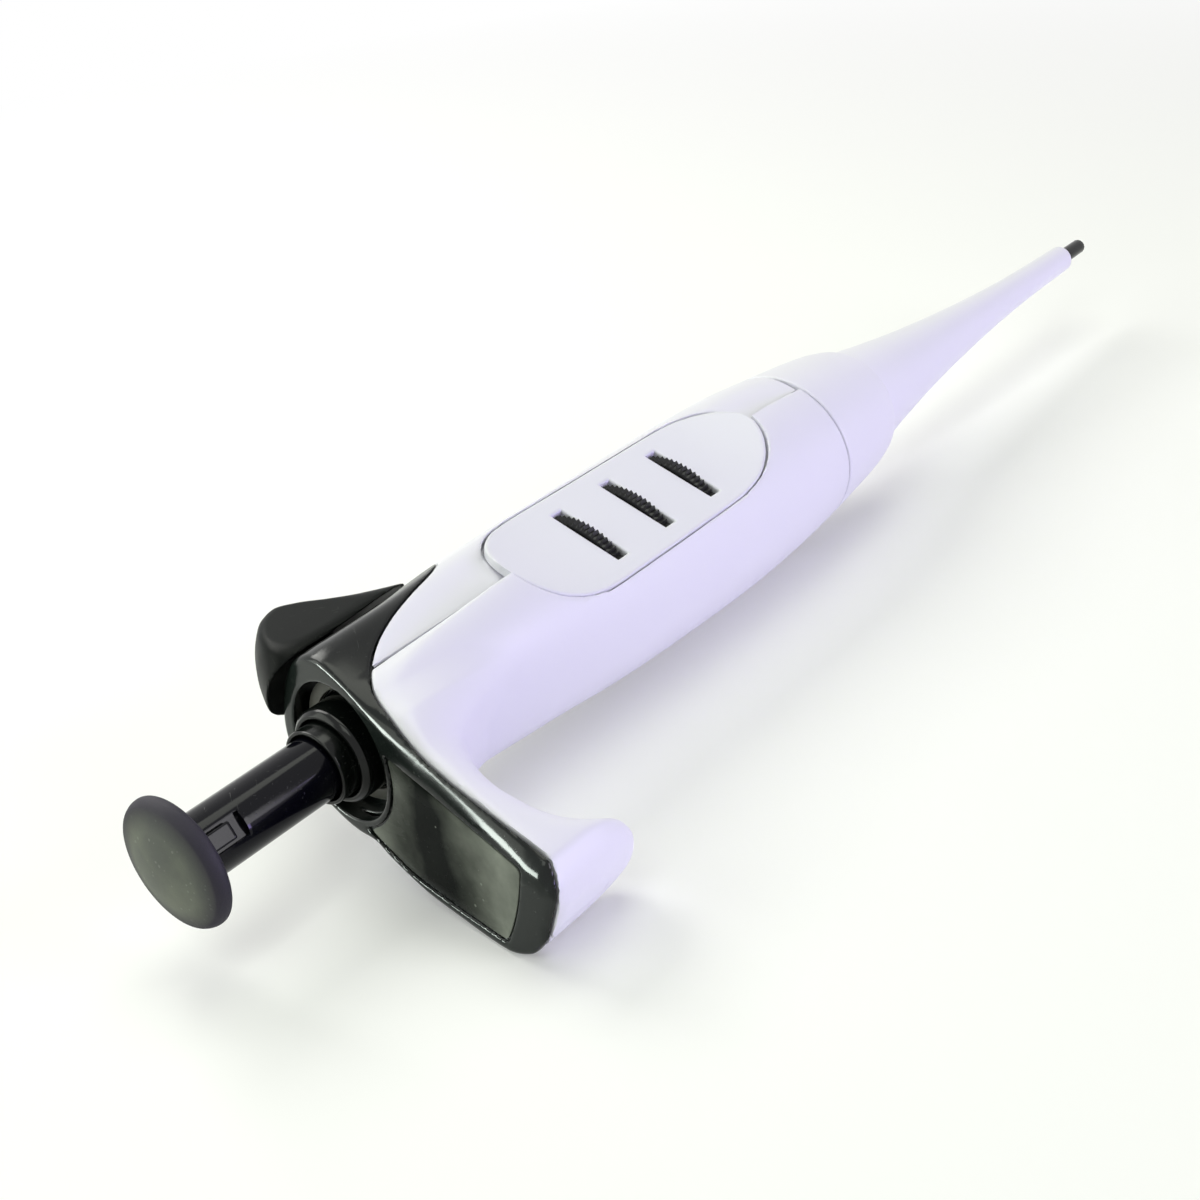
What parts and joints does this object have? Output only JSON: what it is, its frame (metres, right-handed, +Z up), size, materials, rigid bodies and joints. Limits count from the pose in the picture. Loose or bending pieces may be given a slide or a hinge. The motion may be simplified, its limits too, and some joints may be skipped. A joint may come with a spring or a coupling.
{
  "type": "micropipette",
  "caption": "Hand-held single-channel adjustable micropipette: push button on a stem, finger hook, thumb lobe for tip ejection, dial wheels in a dished panel, tapered sleeve and nozzle.",
  "frame": {"origin": "bottom centre of the box round the pipette, lying on its back with the finger hook's end down", "axes": "+X along the plunger's axis from the push button to the nozzle, +Z up from the surface it lies on"},
  "size_m": [0.2468, 0.0632, 0.0317],
  "materials": {
    "white_plastic": "satin white moulded plastic",
    "gloss_black": "gloss black plastic",
    "satin_black": "satin black plastic",
    "soft_grey": "matte grey-green soft-touch",
    "window_grey": "satin grey label film",
    "steel": "ground steel",
    "amber_plastic": "natural amber plastic",
    "seal_rubber": "amber seal"
  },
  "bodies": {
    "grip": {"housing_ejector_side": "white_plastic", "housing_hook_side": "white_plastic", "top_cap": "gloss_black", "label_window": "window_grey", "dial_panel": "white_plastic", "lower_collar": "white_plastic", "stem_guide_bush": "gloss_black", "guide_collar": "gloss_black", "dial_core": "satin_black", "stroke_nut": "amber_plastic", "nozzle_shaft": "satin_black", "seal_ring": "seal_rubber", "seal_retainer": "satin_black", "piston_spring": "steel", "blowout_spring": "steel", "ejector_spring": "steel"},
    "plunger": {"push_button": "soft_grey", "button_latch": "gloss_black", "plunger_stem": "gloss_black", "piston_rod": "steel", "spring_plate": "steel", "piston": "steel"},
    "ejector": {"ejector_lever": "satin_black", "ejector_frame": "satin_black", "ejector_sleeve": "white_plastic"},
    "wheel_1": {"dial_wheel_1": "satin_black"},
    "wheel_2": {"dial_wheel_2": "satin_black"},
    "wheel_3": {"dial_wheel_3": "satin_black"}
  },
  "joints": [
    {"name": "plunger_slide", "type": "slide", "parent": "grip", "child": "plunger", "axis": [1, 0, 0], "range_m": [0, 0.017], "stiffness_N_per_m": 300, "springref_m": -0.003, "deforming": ["piston_spring", "blowout_spring"]},
    {"name": "ejector_slide", "type": "slide", "parent": "grip", "child": "ejector", "axis": [1, 0, 0], "range_m": [0, 0.007], "stiffness_N_per_m": 400, "springref_m": -0.003, "deforming": ["ejector_spring"]},
    {"name": "wheel_1_turn", "type": "hinge", "parent": "grip", "child": "wheel_1", "pos_m": [-0.0426, 0.00916, 0.01684], "axis": [1, 0, 0], "continuous": true},
    {"name": "wheel_2_turn", "type": "hinge", "parent": "grip", "child": "wheel_2", "pos_m": [-0.03115, 0.00916, 0.01684], "axis": [1, 0, 0], "continuous": true},
    {"name": "wheel_3_turn", "type": "hinge", "parent": "grip", "child": "wheel_3", "pos_m": [-0.0197, 0.00916, 0.01684], "axis": [1, 0, 0], "continuous": true}
  ]
}
